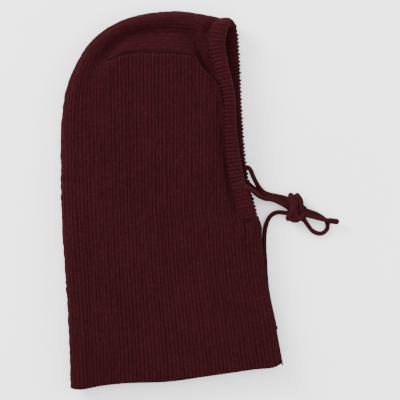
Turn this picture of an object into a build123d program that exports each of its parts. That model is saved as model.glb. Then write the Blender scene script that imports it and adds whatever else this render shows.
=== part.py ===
from build123d import *
import math
import os

os.makedirs("parts", exist_ok=True)

# A rib-knit hood with a drawstring, lying flat on its left side.
# Millimetres. +X points to the face opening, +Y to the crown, +Z up from the floor.
# The origin is on the floor, below the middle of the hood.

# Driving dimensions of the knitted hood
THICKNESS = 30.0  # over both sides, half way up the hood
TOP_SLOPE = 1.5  # degrees by which the upper side rises towards the crown
WALL = 4.0  # one layer of rib knit
RIM_TOP_R = 9.0  # rounding of the fold, upper side
RIM_BOTTOM_R = 15.0  # rounding of the fold, lower side
MID_Z = 15.5  # height at which the two sides meet on the fold
SEAM_W = 2.2  # width of a linking seam
HEM_W = 3.0  # depth of the cast-off edge
CHIN_Y = -21.0  # where the casing's ends meet the neck

# Driving dimensions of the face casing
CASING_W = 13.0
CASING_T = 9.0
TUNNEL_D = 5.5
SLIT = (16.0, 22.0)  # room cut for the cord's bend, inwards and along the casing

# Driving dimensions of the drawcord
CORD_D = 4.5
CORD_R = CORD_D / 2
CORD_END_D = 5.3  # bound end of a tail
CORD_END_L = 4.0
PIVOT_GAP = 0.35  # from a cord's rounded end to whatever it swings beside
KNOT_SIZE = (11.5, 28.0, 15.5)
KNOT_CENTRE = (121.25, -7.0, 8.05)
KNOT_TURN = -4.0  # degrees about Z
KNOT_EDGE_R = 4.5

# Working sizes
TALL = 60.0  # height of the cutting prisms
FAR = 160.0  # half width of the cutting prisms
HEM_CUT_Y = -215.0  # the outline runs past the hem and is cut there
OUTLINE_STEPS = 24  # places where the inner edge is worked out from the outer one

# Folded edge of the hood from the back of the hem, over the crown, down the face to the neck
OUTLINE = [
    (-98.5, HEM_CUT_Y),
    (-103.5, -120.0),
    (-109.5, -30.0),
    (-111.0, 30.0),
    (-107.0, 103.0),
    (-90.0, 149.0),
    (-57.0, 177.0),
    (6.0, 189.8),
    (43.0, 184.5),
    (61.0, 173.0),
    (66.5, 150.0),
    (70.0, 72.0),
    (77.0, 11.0),
    (88.5, -24.0),
    (93.5, -70.0),
    (103.5, -119.0),
    (110.5, -160.0),
    (114.0, HEM_CUT_Y),
]

# Lower edge of the neck
HEM = [
    (-125.0, -189.8),
    (-96.0, -189.6),
    (-76.0, -185.6),
    (-19.0, -182.0),
    (32.0, -176.0),
    (83.0, -169.5),
    (125.0, -166.5),
]

# Border between the side panel and the strip over the back and crown
BACK_LINE = [(-58.5, -210.0), (-61.0, 0.0), (-64.0, 138.0)]
CROWN_SEAM = [(-64.0, 138.0), (-44.0, 146.0), (-15.0, 147.0), (19.0, 145.0), (34.0, 126.0), (50.0, 112.0)]

# Middle of the casing on the upper side, from the chin up, and on the lower side, from the crown down
CASING_UPPER = [(78.5, -26.0), (65.0, 30.0), (58.5, 90.0), (48.0, 145.0), (51.0, 163.0), (51.0, 178.5)]
CASING_LOWER = [(51.0, 178.5), (51.0, 164.0), (60.5, 120.0), (62.5, 70.0), (69.5, 18.0), (78.5, -26.0)]


def top_z(y):
    """Height of the hood's upper surface at a place along its length."""
    return THICKNESS + y * math.tan(math.radians(TOP_SLOPE))


def upper_z(y):
    """Height of the middle of the casing on the upper side."""
    return top_z(y) - CASING_T / 2 - 0.1


LOWER_Z = CASING_T / 2 + 0.1


def bend_radii(points):
    """The largest even arc for each corner of a route: 0.45 of its shorter run over tan(half turn)."""
    places = [Vector(*p) for p in points]
    radii = []
    for before, here, after in zip(places, places[1:], places[2:]):
        run_in = here - before
        run_out = after - here
        half_turn = math.radians(run_in.get_angle(run_out)) / 2
        radii.append(0.45 * min(run_in.length, run_out.length) / math.tan(half_turn))
    return radii


def prism(points):
    """A tall block over a closed straight-sided plan, used to cut the shell."""
    with BuildPart() as block:
        with BuildSketch(Plane.XY.offset(-5)):
            with BuildLine():
                Polyline(*points, close=True)
            make_face()
        extrude(amount=TALL)
    return block.part


def ribbon(points, width):
    """A tall wall of even width along a line in plan."""
    with BuildPart() as wall:
        with BuildSketch(Plane.XY.offset(-5)):
            with BuildLine():
                FilletPolyline(*points, radius=bend_radii([(x, y, 0) for x, y in points]))
            trace(line_width=width)
        extrude(amount=TALL)
    return wall.part


def level_block(low, high):
    """A wide slab between two heights."""
    with BuildPart() as slab:
        with BuildSketch(Plane.XY.offset(low)):
            Rectangle(3 * FAR, 3 * FAR)
        extrude(amount=high - low)
    return slab.part


def fold_outline(inset):
    """Points of the folded edge, drawn in by inset square to the edge."""
    if not inset:
        return OUTLINE
    edge = Spline(*OUTLINE, mode=Mode.PRIVATE)
    points = []
    for step in range(OUTLINE_STEPS + 1):
        along = edge % (step / OUTLINE_STEPS)
        points.append(edge @ (step / OUTLINE_STEPS) + Vector(along.Y, -along.X) * inset)
    return points


def hood_slab(inset, radius_top, radius_bottom):
    """The lying hood as a solid with rounded folds, drawn in by inset on every side."""
    outline_points = fold_outline(inset)
    top = Plane(
        origin=(0, 0, THICKNESS - inset),
        x_dir=(1, 0, 0),
        z_dir=(0, -math.sin(math.radians(TOP_SLOPE)), math.cos(math.radians(TOP_SLOPE))),
    )
    with BuildPart() as slab:
        with BuildSketch(Plane.XY.offset(inset)):
            with BuildLine():
                fold = Spline(*outline_points)
                Line(fold @ 1, fold @ 0)
            make_face()
        extrude(amount=TALL)
        split(bisect_by=top, keep=Keep.BOTTOM)
        upper_edges = slab.faces().sort_by(Axis.Z)[-1].edges().filter_by(GeomType.LINE, reverse=True)
        fillet(upper_edges, radius=radius_top)
        lower_edges = slab.faces().sort_by(Axis.Z)[0].edges().filter_by(GeomType.LINE, reverse=True)
        fillet(lower_edges, radius=radius_bottom)
    return slab.part


def tube(points, diameter, label, round_start=False):
    """A plain cord along a route of straight runs and arcs, with a rounded start where it swings."""
    radii = bend_radii(points)
    with BuildPart() as cord:
        with BuildLine():
            route = FilletPolyline(*points, radius=radii)
        with BuildSketch(Plane(origin=route @ 0, z_dir=route % 0)):
            Circle(diameter / 2)
        sweep()
        if round_start:
            with Locations(route @ 0):
                Sphere(diameter / 2)
    length = route.length
    section = math.pi * diameter**2 / 4
    print(f"{label}: length {length:.1f}, volume over section x length {cord.part.volume / (section * length):.3f}")
    print("  bend radii " + ", ".join(f"{r:.1f}" for r in radii))
    return cord.part


def save(part, label):
    """Writes a finished piece: its one solid, without the chips that a plan leaves at a rounded corner."""
    piece = part.solids().sort_by(SortBy.VOLUME)[-1]
    piece.label = label
    export_step(piece, f"parts/{label}.step")


# Knitted shell: both sides, the folds between them and the open inside
with BuildPart() as shell:
    add(hood_slab(0, RIM_TOP_R, RIM_BOTTOM_R))
    add(hood_slab(WALL, RIM_TOP_R - WALL, RIM_BOTTOM_R - WALL), mode=Mode.SUBTRACT)

# Plan of everything above the hem, and of the cast-off edge along it
with BuildPart() as above_hem:
    with BuildSketch(Plane.XY.offset(-5)):
        with BuildLine():
            hem_line = Spline(*HEM)
            Polyline(hem_line @ 1, (FAR, 0), (FAR, 220), (-FAR, 220), (-FAR, 0), hem_line @ 0)
        make_face()
    extrude(amount=TALL)

with BuildPart() as above_edge:
    add(above_hem.part.moved(Location((0, HEM_W, 0))))

# Face casing: one flattened tube up one side of the face, over the forehead and down the other
casing_points = [(x, y, upper_z(y)) for x, y in CASING_UPPER] + [(x, y, LOWER_Z) for x, y in CASING_LOWER]


def casing_tube(tunnel):
    """The casing's flattened tube, cut level at the chin, with or without the tunnel through it."""
    with BuildPart() as casing:
        with BuildLine():
            route = FilletPolyline(*casing_points, radius=bend_radii(casing_points))
        with BuildSketch(Plane(origin=route @ 0, x_dir=(1, 0, 0), z_dir=route % 0)):
            SlotOverall(CASING_W, CASING_T)
            if tunnel:
                Circle(TUNNEL_D / 2, mode=Mode.SUBTRACT)
        sweep()
        split(bisect_by=Plane(origin=(0, CHIN_Y, 0), z_dir=(0, 1, 0)), keep=Keep.TOP)
    return casing.part


casing_envelope = casing_tube(tunnel=False)

# Plan kept on each side: everything behind the casing's middle, and the neck below the chin
chin_to_hem = [(FAR, CHIN_Y), (FAR, -220), (-FAR, -220), (-FAR, 220)]
upper_keep = prism([(CASING_UPPER[-1][0], 220)] + CASING_UPPER[::-1] + chin_to_hem)
lower_keep = prism([(CASING_LOWER[0][0], 220)] + CASING_LOWER + chin_to_hem)

with BuildPart() as upper_layer:
    add(shell.part)
    add(level_block(MID_Z, TALL), mode=Mode.INTERSECT)
    add(upper_keep, mode=Mode.INTERSECT)
    add(casing_envelope, mode=Mode.SUBTRACT)

with BuildPart() as lower_layer:
    add(shell.part)
    add(level_block(-5, MID_Z), mode=Mode.INTERSECT)
    add(lower_keep, mode=Mode.INTERSECT)
    add(casing_envelope, mode=Mode.SUBTRACT)

# Plans of the side panels and of the seams
above_chin = prism([(-FAR, CHIN_Y), (FAR, CHIN_Y), (FAR, 220), (-FAR, 220)])
side_plan = prism(BACK_LINE + CROWN_SEAM[1:] + [(FAR, 112), (FAR, -210)])
crown_seam_plan = ribbon(CROWN_SEAM, SEAM_W)
casing_upper_plan = ribbon(CASING_UPPER[:-1] + [(51.0, 215.0)], CASING_W + 2 * SEAM_W) & above_chin
casing_lower_plan = ribbon([(51.0, 215.0)] + CASING_LOWER[1:], CASING_W + 2 * SEAM_W) & above_chin
chin_seam_plan = prism([(65.0, CHIN_Y), (FAR, CHIN_Y), (FAR, CHIN_Y - SEAM_W), (65.0, CHIN_Y - SEAM_W)])
neck_front_plan = prism([(62.0, CHIN_Y - SEAM_W), (FAR, CHIN_Y - SEAM_W), (FAR, -210), (62.0, -210)])
neck_front_levels = level_block(MID_Z - SEAM_W / 2, MID_Z + SEAM_W / 2)


def side_panel(layer, casing_plan, label):
    """One side of the hood and neck: its layer without the strip, the seams and the cast-off edge."""
    with BuildPart() as panel:
        add(layer)
        add(side_plan, mode=Mode.INTERSECT)
        add(above_edge.part, mode=Mode.INTERSECT)
        add(crown_seam_plan, mode=Mode.SUBTRACT)
        add(casing_plan, mode=Mode.SUBTRACT)
        add(chin_seam_plan, mode=Mode.SUBTRACT)
        add(neck_front_plan & neck_front_levels, mode=Mode.SUBTRACT)
    save(panel.part, label)
    return panel.part


def layer_seam(layer, plan, cut_by, label):
    """A seam in one layer: the layer under a narrow plan, cut back where another seam crosses it."""
    with BuildPart() as seam:
        add(layer)
        add(plan, mode=Mode.INTERSECT)
        for other in cut_by:
            add(other, mode=Mode.SUBTRACT)
    save(seam.part, label)
    return seam.part


side_panel_right = side_panel(upper_layer.part, casing_upper_plan, "side_panel_right")
side_panel_left = side_panel(lower_layer.part, casing_lower_plan, "side_panel_left")

casing_seam_right = layer_seam(upper_layer.part, casing_upper_plan, [], "casing_seam_right")
casing_seam_left = layer_seam(lower_layer.part, casing_lower_plan, [], "casing_seam_left")
crown_seam_right = layer_seam(upper_layer.part, crown_seam_plan, [casing_upper_plan], "crown_seam_right")
crown_seam_left = layer_seam(lower_layer.part, crown_seam_plan, [casing_lower_plan], "crown_seam_left")

# Strip up the back, over the crown and to the forehead, round the fold
with BuildPart() as crown_back_panel:
    add(upper_layer.part)
    add(lower_layer.part)
    add(side_plan, mode=Mode.SUBTRACT)
    add(above_edge.part, mode=Mode.INTERSECT)
    add(crown_seam_plan, mode=Mode.SUBTRACT)
    add(casing_seam_right, mode=Mode.SUBTRACT)
    add(casing_seam_left, mode=Mode.SUBTRACT)
save(crown_back_panel.part, "crown_back_panel")

# Seam across the chin, where the casing's two ends meet the neck
with BuildPart() as chin_seam:
    add(shell.part)
    add(chin_seam_plan, mode=Mode.INTERSECT)
save(chin_seam.part, "chin_seam")

# Seam that closes the neck tube, on the front fold
with BuildPart() as neck_front_seam:
    add(shell.part)
    add(neck_front_plan, mode=Mode.INTERSECT)
    add(neck_front_levels, mode=Mode.INTERSECT)
    add(above_edge.part, mode=Mode.INTERSECT)
save(neck_front_seam.part, "neck_front_seam")

# Cast-off edge round the neck
with BuildPart() as hem_cast_off:
    add(shell.part)
    add(above_hem.part, mode=Mode.INTERSECT)
    add(above_edge.part, mode=Mode.SUBTRACT)
save(hem_cast_off.part, "hem_cast_off")

# Drawcord. The visible strands swing about an upright line just outside the casing's two slits.
SWING_X = 79.9
SWING_Y = 10.8
SLIT_UPPER_Z = upper_z(12.0)
exit_point = (SWING_X - CORD_R - PIVOT_GAP - 0.1, SWING_Y + 1.1)

cord_in_casing_points = (
    [(*exit_point, SLIT_UPPER_Z), (69.0, 15.0, SLIT_UPPER_Z)]
    + [(x, y, upper_z(y)) for x, y in CASING_UPPER[1:]]
    + [(x, y, LOWER_Z) for x, y in CASING_LOWER[:-2]]
    + [(70.0, 15.0, LOWER_Z), (*exit_point, LOWER_Z)]
)
save(tube(cord_in_casing_points, CORD_D, "drawcord_in_casing"), "drawcord_in_casing")

# The casing, with its tunnel and the two slits that the cord leaves by
with BuildPart() as face_casing:
    add(casing_tube(tunnel=True))
    for slit_z in (SLIT_UPPER_Z, LOWER_Z):
        with BuildSketch(Plane.XY.offset(slit_z - TUNNEL_D / 2)):
            with Locations((SWING_X - SLIT[0] / 2, SWING_Y + 3.0)):
                Rectangle(*SLIT)
        extrude(amount=TUNNEL_D, mode=Mode.SUBTRACT)
save(face_casing.part, "face_casing")

KNOT_FACE_X = 116.2
RIGHT_STRAND = [
    (SWING_X, SWING_Y, SLIT_UPPER_Z),
    (85.5, 7.0, 21.5),
    (92.5, 2.5, 15.8),
    (101.0, -1.3, 12.4),
    (109.5, -5.0, 11.2),
    (KNOT_FACE_X, -8.6, 10.2),
]
LEFT_STRAND = [
    (SWING_X, SWING_Y, LOWER_Z + 0.2),
    (86.0, 8.0, 6.6),
    (94.0, 4.6, 8.0),
    (103.0, 1.9, 8.3),
    (110.5, -1.2, 7.8),
    (KNOT_FACE_X, -3.2, 7.4),
]
TUCKED_STRAND = [
    (65.5, 29.0, 15.2),
    (73.5, 31.5, 14.8),
    (80.0, 30.6, 13.8),
    (85.0, 22.5, 11.6),
    (90.5, 13.6, 8.2),
    (97.0, 6.8, 4.2),
    (105.0, 3.4, 3.0),
    (112.0, 3.4, 4.0),
    (KNOT_FACE_X, 3.0, 5.0),
]
save(tube(RIGHT_STRAND, CORD_D, "drawcord_right_strand", round_start=True), "drawcord_right_strand")
save(tube(LEFT_STRAND, CORD_D, "drawcord_left_strand", round_start=True), "drawcord_left_strand")
save(tube(TUCKED_STRAND, CORD_D, "drawcord_tucked_strand"), "drawcord_tucked_strand")

# Knot, as one rounded block of the outer shape of its turns
with BuildPart() as drawcord_knot:
    with BuildSketch(Plane(origin=KNOT_CENTRE).rotated((0, 0, KNOT_TURN)).offset(-KNOT_SIZE[2] / 2)):
        Rectangle(KNOT_SIZE[0], KNOT_SIZE[1])
    extrude(amount=KNOT_SIZE[2])
    fillet(drawcord_knot.edges(), radius=KNOT_EDGE_R)
save(drawcord_knot.part, "drawcord_knot")

# Bow: a loop and the short tail, which lift together about a line beside the knot
BOW_Z = 8.0
BOW_LOOP = [
    (132.4, -9.2, BOW_Z),
    (141.5, -11.0, 6.2),
    (150.0, -14.5, 4.0),
    (156.5, -21.0, 3.0),
    (155.5, -31.0, 2.8),
    (147.0, -36.2, 2.8),
    (138.5, -30.8, 3.6),
    (133.5, -24.6, 5.4),
    (130.4, -18.7, BOW_Z),
]
SHORT_TAIL = [
    (131.4, -13.95, BOW_Z),
    (140.0, -15.4, 10.6),
    (148.0, -16.8, 11.0),
    (156.5, -19.2, 9.8),
    (163.2, -20.6, 7.6),
]

with BuildPart() as bow_loop:
    add(tube(BOW_LOOP, CORD_D, "bow_loop", round_start=True))
    with Locations(BOW_LOOP[-1]):
        Sphere(CORD_R)
save(bow_loop.part, "bow_loop")
save(tube(SHORT_TAIL, CORD_D, "short_tail", round_start=True), "short_tail")

# Long tail: beside the front of the neck, then close under its fold
LONG_TAIL = [
    (112.7, -12.2, 4.4),
    (104.5, -11.0, 3.3),
    (97.0, -15.6, 2.5),
    (93.2, -24.5, 2.4),
    (91.9, -34.0, 2.4),
    (92.4, -48.0, 2.4),
    (93.6, -62.0, 2.4),
    (94.2, -77.0, 2.4),
    (95.6, -92.0, 2.4),
    (99.2, -110.0, 2.7),
    (103.2, -127.0, 2.7),
]
save(tube(LONG_TAIL, CORD_D, "long_tail", round_start=True), "long_tail")


def bound_end(points, label):
    """The bound end of a tail: a short, slightly thicker cylinder on the cord's last face."""
    start = Vector(*points[-1])
    axis = start - Vector(*points[-2])
    with BuildPart() as end:
        with BuildSketch(Plane(origin=start, z_dir=axis)):
            Circle(CORD_END_D / 2)
        extrude(amount=CORD_END_L)
        fillet(end.faces().sort_by(Axis(start, axis))[-1].edges(), radius=1.2)
    save(end.part, label)


bound_end(SHORT_TAIL, "short_tail_end")
bound_end(LONG_TAIL, "long_tail_end")
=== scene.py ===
"""A burgundy rib-knit balaclava hood with a tied drawcord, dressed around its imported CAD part.

The hood lies on its left side: two ribbed side panels, a ribbed strip that runs up the back and
over the crown, a folded casing round the face and the drawcord that leaves it at the chin.
"""

from __future__ import annotations

import logging
import math
from dataclasses import dataclass, field
from enum import Enum
from typing import Callable, Optional, Sequence

import bmesh
import bpy
import numpy as np
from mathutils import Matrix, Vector

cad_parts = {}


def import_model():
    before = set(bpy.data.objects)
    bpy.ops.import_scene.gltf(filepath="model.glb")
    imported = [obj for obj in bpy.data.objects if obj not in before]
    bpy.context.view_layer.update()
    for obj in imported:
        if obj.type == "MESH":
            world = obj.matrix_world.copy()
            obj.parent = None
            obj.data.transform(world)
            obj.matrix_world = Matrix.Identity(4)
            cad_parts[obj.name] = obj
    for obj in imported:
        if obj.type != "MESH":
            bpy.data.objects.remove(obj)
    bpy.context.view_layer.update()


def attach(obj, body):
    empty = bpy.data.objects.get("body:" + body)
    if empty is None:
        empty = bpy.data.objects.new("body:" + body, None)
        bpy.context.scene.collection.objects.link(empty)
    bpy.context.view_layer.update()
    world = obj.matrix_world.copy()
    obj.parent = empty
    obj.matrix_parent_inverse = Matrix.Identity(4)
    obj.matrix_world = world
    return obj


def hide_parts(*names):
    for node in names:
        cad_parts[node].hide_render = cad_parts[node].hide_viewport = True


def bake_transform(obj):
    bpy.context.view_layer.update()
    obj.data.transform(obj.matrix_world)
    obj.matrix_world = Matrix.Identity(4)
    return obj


LOG = logging.getLogger("balaclava")
MM = 0.001
KNIT_MAP = "knit"
TIP_LENGTH = 1.6
COURSE = 2.3
CORD_RIBS = 6
CORD_COURSE = 2.0
CORD_SIDES = 24

Point = tuple[float, float, float]
Flat = tuple[float, float]


class Side(Enum):
    """The wearer's side that a layer of the hood belongs to."""

    RIGHT = "right"
    LEFT = "left"

    @property
    def top(self) -> bool:
        """Whether the layer lies on top of the hood."""
        return self is Side.RIGHT


class Body(Enum):
    """The moving bodies of the CAD part."""

    HOOD = "hood"
    TIED_CORD = "tied_cord"
    BOW = "bow"
    LONG_TAIL = "long_tail"


class Slot(Enum):
    """The record's material slots."""

    RIB = "rib_knit"
    CASING = "casing_rib_knit"
    LINKING = "linking_yarn"
    DRAWCORD = "drawcord_yarn"


# --------------------------------------------------------------------------- finishes


class Graph:
    """A node material under construction."""

    def __init__(self, name: str) -> None:
        """Starts an empty node tree.

        Args:
            name: the material's name.
        """
        self.material = bpy.data.materials.new(name)
        self.material.use_nodes = True
        self.tree = self.material.node_tree
        self.tree.nodes.clear()

    def node(self, kind: str, **settings: object) -> bpy.types.Node:
        """Adds a node.

        Args:
            kind: the node's Blender type.
            **settings: properties to set on it.

        Returns:
            The node.
        """
        made = self.tree.nodes.new(kind)
        for key, value in settings.items():
            setattr(made, key, value)
        return made

    def feed(self, socket: bpy.types.NodeSocket, source: object) -> None:
        """Gives an input a number, or links an output to it.

        Args:
            socket: the input.
            source: a number, or another node's output.
        """
        if isinstance(source, (int, float)):
            socket.default_value = source
        else:
            self.tree.links.new(source, socket)

    def math(self, operation: str, first: object, second: object = 0.0) -> bpy.types.NodeSocket:
        """Adds a Math node.

        Args:
            operation: Blender's name for the operation.
            first: the first number or output.
            second: the second number or output.

        Returns:
            The node's output.
        """
        made = self.node("ShaderNodeMath", operation=operation)
        self.feed(made.inputs[0], first)
        self.feed(made.inputs[1], second)
        return made.outputs[0]

    def noise(self, vector: object, scale: float, detail: float, rough: float) -> bpy.types.NodeSocket:
        """Adds a noise texture.

        Args:
            vector: the coordinates it reads.
            scale: how many cells it has per unit.
            detail: its octaves.
            rough: its roughness from octave to octave.

        Returns:
            The noise's value.
        """
        made = self.node("ShaderNodeTexNoise")
        made.inputs["Scale"].default_value = scale
        made.inputs["Detail"].default_value = detail
        made.inputs["Roughness"].default_value = rough
        self.feed(made.inputs["Vector"], vector)
        return made.outputs[0]

    def ramp(self, factor: object, stops: Sequence[tuple[float, Point]]) -> bpy.types.NodeSocket:
        """Adds a colour ramp.

        Args:
            factor: what drives it.
            stops: the place and linear colour of each stop.

        Returns:
            The ramp's colour.
        """
        made = self.node("ShaderNodeValToRGB")
        elements = made.color_ramp.elements
        while len(elements) < len(stops):
            elements.new(0.5)
        for element, (place, colour) in zip(elements, stops):
            element.position = place
            element.color = (*colour, 1.0)
        self.feed(made.inputs[0], factor)
        return made.outputs[0]

    def bump(self, height: object, distance: float, strength: float, under: object = None) -> bpy.types.NodeSocket:
        """Adds a bump.

        Args:
            height: the height that it reads.
            distance: how deep the bump is, in metres.
            strength: how much of it shows.
            under: the normal of the bump below it.

        Returns:
            The bumped normal.
        """
        made = self.node("ShaderNodeBump")
        made.inputs["Distance"].default_value = distance
        made.inputs["Strength"].default_value = strength
        self.feed(made.inputs["Height"], height)
        if under is not None:
            self.feed(made.inputs["Normal"], under)
        return made.outputs[0]

    def object_coords(self) -> bpy.types.NodeSocket:
        """The coordinates of the piece itself."""
        return self.node("ShaderNodeTexCoord").outputs["Object"]

    def surface(self, colour: object, roughness: float, specular: float) -> bpy.types.Node:
        """Adds the shader and links it to the material's output.

        Args:
            colour: the base colour.
            roughness: how matt the surface is.
            specular: how much of it shines.

        Returns:
            The shader.
        """
        shader = self.node("ShaderNodeBsdfPrincipled")
        shader.inputs["Roughness"].default_value = roughness
        shader.inputs["Specular IOR Level"].default_value = specular
        self.feed(shader.inputs["Base Color"], colour)
        out = self.node("ShaderNodeOutputMaterial")
        self.feed(out.inputs["Surface"], shader.outputs[0])
        return shader


@dataclass(frozen=True)
class WoolFinish:
    """Woollen yarn, knitted: V-shaped stitches, loose fibres and a slightly mottled dye.

    A grain is a noise's scale, octaves and roughness. The tone shares weigh the mottle, the
    patches, the fibres and the stitches, in that order. The groove shade darkens the colour
    in the grooves between the ribs: painted shade. Depths are in metres.
    """

    name: str
    dark: Point
    middle: Point
    light: Point
    stitch_depth: float
    fibre_depth: float
    stitch_strength: float = 0.8
    # How much painted shade darkens the colour in the rib grooves.
    painted_groove_shade: float = 0.10
    slant: float = 1.1
    groove_power: float = 3.0
    mottle: Point = (420.0, 3.0, 0.6)
    patches: Point = (30.0, 2.0, 0.5)
    fibres: Point = (1500.0, 4.0, 0.75)
    tone_shares: tuple[float, ...] = (0.55, 0.12, 0.35, 0.05)
    tone_stops: Point = (0.30, 0.52, 0.72)
    mottle_depth: float = 0.0006
    mottle_strength: float = 0.5
    fibre_strength: float = 0.6
    roughness: float = 0.95
    specular: float = 0.05
    sheen: float = 0.035
    sheen_roughness: float = 0.45
    sheen_tint: Point = (0.70, 0.18, 0.22)

    def material(self) -> bpy.types.Material:
        """Builds the node material.

        Returns:
            The material.
        """
        graph = Graph(self.name)
        coords = graph.object_coords()
        split = graph.node("ShaderNodeSeparateXYZ")
        graph.feed(split.inputs[0], graph.node("ShaderNodeUVMap", uv_map=KNIT_MAP).outputs[0])
        away = graph.math("ABSOLUTE", graph.math("SUBTRACT", graph.math("FRACT", split.outputs[0]), 0.5))
        slant = graph.math("ADD", split.outputs[1], graph.math("MULTIPLY", away, self.slant))
        stitch = graph.math("SINE", graph.math("MULTIPLY", graph.math("FRACT", slant), math.pi))
        # 1 in the grooves between ribs, 0 on the crests: the mask of the painted shade below.
        groove = graph.math("POWER", graph.math("MULTIPLY", away, 2.0), self.groove_power)
        mottle, patches, fibres = (graph.noise(coords, *grain) for grain in (self.mottle, self.patches, self.fibres))
        first, *others = (
            graph.math("MULTIPLY", part, share)
            for part, share in zip((mottle, patches, fibres, stitch), self.tone_shares)
        )
        tone = first
        for part in others:
            tone = graph.math("ADD", tone, part)
        # Painted shade: the colour is darkened in the rib grooves, where shade falls.
        tone = graph.math("SUBTRACT", tone, graph.math("MULTIPLY", groove, self.painted_groove_shade))
        colour = graph.ramp(tone, list(zip(self.tone_stops, (self.dark, self.middle, self.light))))
        normal = graph.bump(stitch, self.stitch_depth, self.stitch_strength)
        normal = graph.bump(mottle, self.mottle_depth, self.mottle_strength, normal)
        normal = graph.bump(fibres, self.fibre_depth, self.fibre_strength, normal)
        shader = graph.surface(colour, self.roughness, self.specular)
        shader.inputs["Sheen Weight"].default_value = self.sheen
        shader.inputs["Sheen Roughness"].default_value = self.sheen_roughness
        shader.inputs["Sheen Tint"].default_value = (*self.sheen_tint, 1.0)
        graph.feed(shader.inputs["Normal"], normal)
        return graph.material


@dataclass(frozen=True)
class FloorFinish:
    """A pale matt studio floor with a faint grain."""

    name: str = "studio_floor"
    grain: Point = (6.0, 2.0, 0.5)
    stops: Sequence[tuple[float, Point]] = ((0.3, (0.93, 0.93, 0.93)), (0.7, (0.96, 0.96, 0.96)))
    roughness: float = 0.9
    specular: float = 0.1

    def material(self) -> bpy.types.Material:
        """Builds the node material.

        Returns:
            The material.
        """
        graph = Graph(self.name)
        grain = graph.noise(graph.object_coords(), *self.grain)
        graph.surface(graph.ramp(grain, self.stops), self.roughness, self.specular)
        return graph.material


RIB_FINISH = WoolFinish(
    "burgundy_rib_knit",
    dark=(0.0096, 0.0008, 0.0016),
    middle=(0.0172, 0.0019, 0.0031),
    light=(0.0276, 0.0042, 0.0058),
    stitch_depth=0.0006,
    fibre_depth=0.0004,
)
CASING_FINISH = WoolFinish(
    "burgundy_casing_knit",
    dark=(0.0098, 0.0009, 0.0016),
    middle=(0.0178, 0.0020, 0.0032),
    light=(0.0285, 0.0044, 0.0061),
    stitch_depth=0.0005,
    fibre_depth=0.0004,
    # Stronger painted shade in the casing's rib grooves.
    painted_groove_shade=0.16,
)
# The linking yarn is the rib knit's burgundy at about half its brightness: painted shade for the dark line down in the
# seams.
LINKING_PAINTED_SHADE_FINISH = WoolFinish(
    "burgundy_linking_yarn_painted_shade",
    dark=(0.0049, 0.0004, 0.0009),
    middle=(0.0084, 0.0009, 0.0016),
    light=(0.0138, 0.0020, 0.0029),
    stitch_depth=0.0003,
    fibre_depth=0.0003,
)
CORD_FINISH = WoolFinish(
    "burgundy_drawcord_knit",
    dark=(0.0116, 0.0012, 0.0021),
    middle=(0.0214, 0.0028, 0.0042),
    light=(0.0339, 0.0057, 0.0075),
    stitch_depth=0.0007,
    fibre_depth=0.0004,
    stitch_strength=0.9,
)


class Dye:
    """Makes each finish's material once and hands it out."""

    def __init__(self) -> None:
        """Starts with no materials."""
        self.made: dict[str, bpy.types.Material] = {}

    def dress(self, piece: bpy.types.Object, finish: object) -> None:
        """Gives a piece its material.

        Args:
            piece: the mesh to dress.
            finish: the finish to give it.
        """
        if finish.name not in self.made:
            self.made[finish.name] = finish.material()
        piece.data.materials.clear()
        piece.data.materials.append(self.made[finish.name])

    def assign(
        self, piece: bpy.types.Object, node: str, finish: WoolFinish, body: Optional[Body] = Body.HOOD
    ) -> None:
        """Dresses a piece, attaches it to the body it rides with and hides the CAD node that it stands for.

        Args:
            piece: the piece.
            node: the CAD node that it stands for, or an empty name for none.
            finish: its finish.
            body: the body it rides with, or None when a cord says that itself.
        """
        self.dress(piece, finish)
        if body is not None:
            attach(piece, body.value)
        if node:
            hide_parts(node)


# --------------------------------------------------------------------------- mesh tools


def hump(at: np.ndarray, centre: float, spread: float) -> np.ndarray:
    """A smooth hump that is 1 at its centre and dies away over its spread."""
    return np.exp(-(((at - centre) / spread) ** 2))


def run_along(line: np.ndarray) -> np.ndarray:
    """The distance of each point of a line from its start."""
    return np.concatenate([[0.0], np.cumsum(np.linalg.norm(np.diff(line, axis=0), axis=1))])


def points_at(line: np.ndarray, at: np.ndarray) -> np.ndarray:
    """The points of a line at the given distances from its start."""
    run = run_along(line)
    return np.stack([np.interp(at, run, line[:, k]) for k in range(3)], axis=1)


def corners_of(piece: bpy.types.Object) -> np.ndarray:
    """Reads a piece's corners.

    Args:
        piece: the mesh to read.

    Returns:
        Their places in millimetres.
    """
    flat = np.zeros(len(piece.data.vertices) * 3, np.float32)
    piece.data.vertices.foreach_get("co", flat)
    return flat.reshape(-1, 3).astype(float) / MM


def knitted_name(node: str) -> str:
    """The name of the knitted piece that stands for a CAD node."""
    return f"{node}_knit"


def mesh_piece(name: str, verts: np.ndarray, faces: np.ndarray, uvs: Optional[np.ndarray]) -> bpy.types.Object:
    """Makes a smooth-shaded mesh object at the origin.

    Args:
        name: the piece's name.
        verts: corner places in millimetres.
        faces: four corner numbers for each face.
        uvs: the knit map of each corner, or None.

    Returns:
        The object.
    """
    mesh = bpy.data.meshes.new(name)
    mesh.vertices.add(len(verts))
    mesh.vertices.foreach_set("co", (verts * MM).astype(np.float32).ravel())
    mesh.loops.add(faces.size)
    mesh.loops.foreach_set("vertex_index", faces.astype(np.int32).ravel())
    mesh.polygons.add(len(faces))
    width = faces.shape[1]
    mesh.polygons.foreach_set("loop_start", np.arange(0, faces.size, width, dtype=np.int32))
    mesh.polygons.foreach_set("use_smooth", np.ones(len(faces), dtype=bool))
    if uvs is not None:
        layer = mesh.uv_layers.new(name=KNIT_MAP)
        layer.data.foreach_set("uv", uvs[faces.ravel()].astype(np.float32).ravel())
    mesh.update(calc_edges=True)
    mesh.validate()
    piece = bpy.data.objects.new(name, mesh)
    bpy.context.scene.collection.objects.link(piece)
    return piece


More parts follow.
